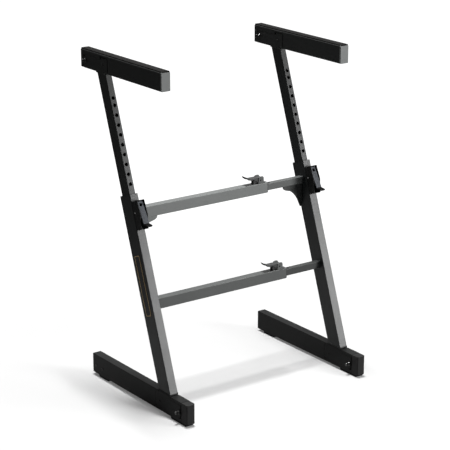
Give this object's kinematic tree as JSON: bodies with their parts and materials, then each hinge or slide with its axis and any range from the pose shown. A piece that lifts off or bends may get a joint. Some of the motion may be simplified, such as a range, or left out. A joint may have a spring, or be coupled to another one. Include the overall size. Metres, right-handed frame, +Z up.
{
  "type": "folding keyboard stand",
  "caption": "Z-shaped folding stand for a keyboard: two leaning telescopic legs on folding feet, folding arms with rubber strips, and two telescopic crossbars.",
  "frame": {"origin": "middle of the footprint, on the floor", "axes": "+X to the right side frame, +Y to the back, the way the legs lean, +Z up"},
  "size_m": [0.6086, 0.479, 0.915],
  "materials": {
    "leg_paint": "satin black powder coat",
    "upper_paint": "satin black powder coat",
    "base_paint": "satin black powder coat",
    "arm_paint": "satin black powder coat",
    "bar_paint": "satin dark grey powder coat",
    "latch_steel": "satin grey steel",
    "black_steel": "satin black",
    "zinc_steel": "bright zinc",
    "black_plastic": "matte",
    "cap_plastic": "satin",
    "rubber": "matte, fine texture",
    "label": "satin black, no lettering"
  },
  "bodies": {
    "left_frame": {"left_lower_leg": "leg_paint", "left_leg_collar": "black_plastic", "left_foot_bracket": "base_paint", "left_foot_pivot_pin": "black_steel", "left_gusset": "leg_paint", "left_latch_housing": "black_steel", "left_latch_hinge_pin": "zinc_steel", "rating_plate": "label", "upper_outer_bar": "bar_paint", "lower_outer_bar": "bar_paint", "upper_width_bracket": "bar_paint", "upper_width_hinge_pin": "zinc_steel", "lower_width_bracket": "bar_paint", "lower_width_hinge_pin": "zinc_steel"},
    "right_frame": {"right_lower_leg": "leg_paint", "right_leg_collar": "black_plastic", "right_foot_bracket": "base_paint", "right_foot_pivot_pin": "black_steel", "right_gusset": "leg_paint", "right_latch_housing": "black_steel", "right_latch_hinge_pin": "zinc_steel", "upper_inner_bar": "bar_paint", "lower_inner_bar": "bar_paint"},
    "left_base": {"left_base_tube": "base_paint", "left_base_front_cap": "cap_plastic", "left_base_rear_cap": "black_plastic", "left_front_foot_pad": "rubber", "left_rear_foot_pad": "rubber"},
    "left_upper": {"left_upper_leg": "upper_paint", "left_arm_bracket": "upper_paint", "left_arm_pivot_pin": "black_steel"},
    "left_arm": {"left_arm_tube": "arm_paint", "left_arm_front_cap": "cap_plastic", "left_arm_rear_cap": "black_plastic", "left_arm_rubber_strip": "rubber"},
    "left_foot_pull": {"left_foot_pull_pin": "zinc_steel"},
    "left_arm_pull": {"left_arm_pull_pin": "zinc_steel"},
    "left_lever": {"left_latch_lever": "latch_steel"},
    "left_lock_pin": {"left_latch_lock_pin": "zinc_steel"},
    "right_base": {"right_base_tube": "base_paint", "right_base_front_cap": "cap_plastic", "right_base_rear_cap": "black_plastic", "right_front_foot_pad": "rubber", "right_rear_foot_pad": "rubber"},
    "right_upper": {"right_upper_leg": "upper_paint", "right_arm_bracket": "upper_paint", "right_arm_pivot_pin": "black_steel"},
    "right_arm": {"right_arm_tube": "arm_paint", "right_arm_front_cap": "cap_plastic", "right_arm_rear_cap": "black_plastic", "right_arm_rubber_strip": "rubber"},
    "right_foot_pull": {"right_foot_pull_pin": "zinc_steel"},
    "right_arm_pull": {"right_arm_pull_pin": "zinc_steel"},
    "right_lever": {"right_latch_lever": "latch_steel"},
    "right_lock_pin": {"right_latch_lock_pin": "zinc_steel"},
    "upper_width_lever": {"upper_width_lever": "bar_paint"},
    "upper_plunger": {"upper_width_plunger": "black_plastic"},
    "lower_width_lever": {"lower_width_lever": "bar_paint"},
    "lower_plunger": {"lower_width_plunger": "black_plastic"}
  },
  "joints": [
    {"name": "width_slide", "type": "slide", "parent": "left_frame", "child": "right_frame", "axis": [1, 0, 0], "range_m": [-0.058, 0.12]},
    {"name": "left_base_fold", "type": "hinge", "parent": "left_frame", "child": "left_base", "pos_m": [-0.28025, -0.10308, 0.053], "axis": [1, 0, 0], "range_deg": [0, 70.5]},
    {"name": "left_height_slide", "type": "slide", "parent": "left_frame", "child": "left_upper", "axis": [0, 0.3338, 0.9426], "range_m": [-0.286, 0.078]},
    {"name": "left_arm_fold", "type": "hinge", "parent": "left_upper", "child": "left_arm", "pos_m": [-0.28025, 0.11905, 0.872], "axis": [1, 0, 0], "range_deg": [0, 70.5]},
    {"name": "left_foot_pull_out", "type": "slide", "parent": "left_frame", "child": "left_foot_pull", "axis": [-1, 0, 0], "range_m": [0, 0.005], "stiffness_N_per_m": 600, "springref_m": -0.002},
    {"name": "left_arm_pull_out", "type": "slide", "parent": "left_upper", "child": "left_arm_pull", "axis": [-1, 0, 0], "range_m": [0, 0.005], "stiffness_N_per_m": 600, "springref_m": -0.002},
    {"name": "left_latch_lever_turn", "type": "hinge", "parent": "left_frame", "child": "left_lever", "pos_m": [-0.28025, -0.01201, 0.54385], "axis": [-1, 0, 0], "range_deg": [0, 15], "stiffness_Nm_per_rad": 1, "springref_deg": -11.46},
    {"name": "left_lock_pin_pull", "type": "slide", "parent": "left_frame", "child": "left_lock_pin", "axis": [0, -0.9426, 0.3338], "range_m": [0, 0.006]},
    {"name": "right_base_fold", "type": "hinge", "parent": "right_frame", "child": "right_base", "pos_m": [0.28975, -0.10308, 0.053], "axis": [1, 0, 0], "range_deg": [0, 70.5]},
    {"name": "right_height_slide", "type": "slide", "parent": "right_frame", "child": "right_upper", "axis": [0, 0.3338, 0.9426], "range_m": [-0.286, 0.078]},
    {"name": "right_arm_fold", "type": "hinge", "parent": "right_upper", "child": "right_arm", "pos_m": [0.28975, 0.11905, 0.872], "axis": [1, 0, 0], "range_deg": [0, 70.5]},
    {"name": "right_foot_pull_out", "type": "slide", "parent": "right_frame", "child": "right_foot_pull", "axis": [-1, 0, 0], "range_m": [0, 0.005], "stiffness_N_per_m": 600, "springref_m": -0.002},
    {"name": "right_arm_pull_out", "type": "slide", "parent": "right_upper", "child": "right_arm_pull", "axis": [-1, 0, 0], "range_m": [0, 0.005], "stiffness_N_per_m": 600, "springref_m": -0.002},
    {"name": "right_latch_lever_turn", "type": "hinge", "parent": "right_frame", "child": "right_lever", "pos_m": [0.28975, -0.01201, 0.54385], "axis": [-1, 0, 0], "range_deg": [0, 15], "stiffness_Nm_per_rad": 1, "springref_deg": -11.46},
    {"name": "right_lock_pin_pull", "type": "slide", "parent": "right_frame", "child": "right_lock_pin", "axis": [0, -0.9426, 0.3338], "range_m": [0, 0.006]},
    {"name": "upper_width_lever_turn", "type": "hinge", "parent": "left_frame", "child": "upper_width_lever", "pos_m": [0.12825, 0.02144, 0.534], "axis": [0, 1, 0], "range_deg": [0, 20], "stiffness_Nm_per_rad": 1, "springref_deg": -11.46},
    {"name": "upper_plunger_lift", "type": "slide", "parent": "left_frame", "child": "upper_plunger", "axis": [0, 0, 1], "range_m": [0, 0.0026]},
    {"name": "lower_width_lever_turn", "type": "hinge", "parent": "left_frame", "child": "lower_width_lever", "pos_m": [0.13375, -0.05883, 0.3073], "axis": [0, 1, 0], "range_deg": [0, 20], "stiffness_Nm_per_rad": 1, "springref_deg": -11.46},
    {"name": "lower_plunger_lift", "type": "slide", "parent": "left_frame", "child": "lower_plunger", "axis": [0, 0, 1], "range_m": [0, 0.0026]}
  ],
  "couplings": [
    {"joint": "left_lock_pin_pull", "follows": "left_latch_lever_turn", "m_per_rad": 0.0229},
    {"joint": "right_lock_pin_pull", "follows": "right_latch_lever_turn", "m_per_rad": 0.0229},
    {"joint": "upper_plunger_lift", "follows": "upper_width_lever_turn", "m_per_rad": 0.0072},
    {"joint": "lower_plunger_lift", "follows": "lower_width_lever_turn", "m_per_rad": 0.0072}
  ]
}
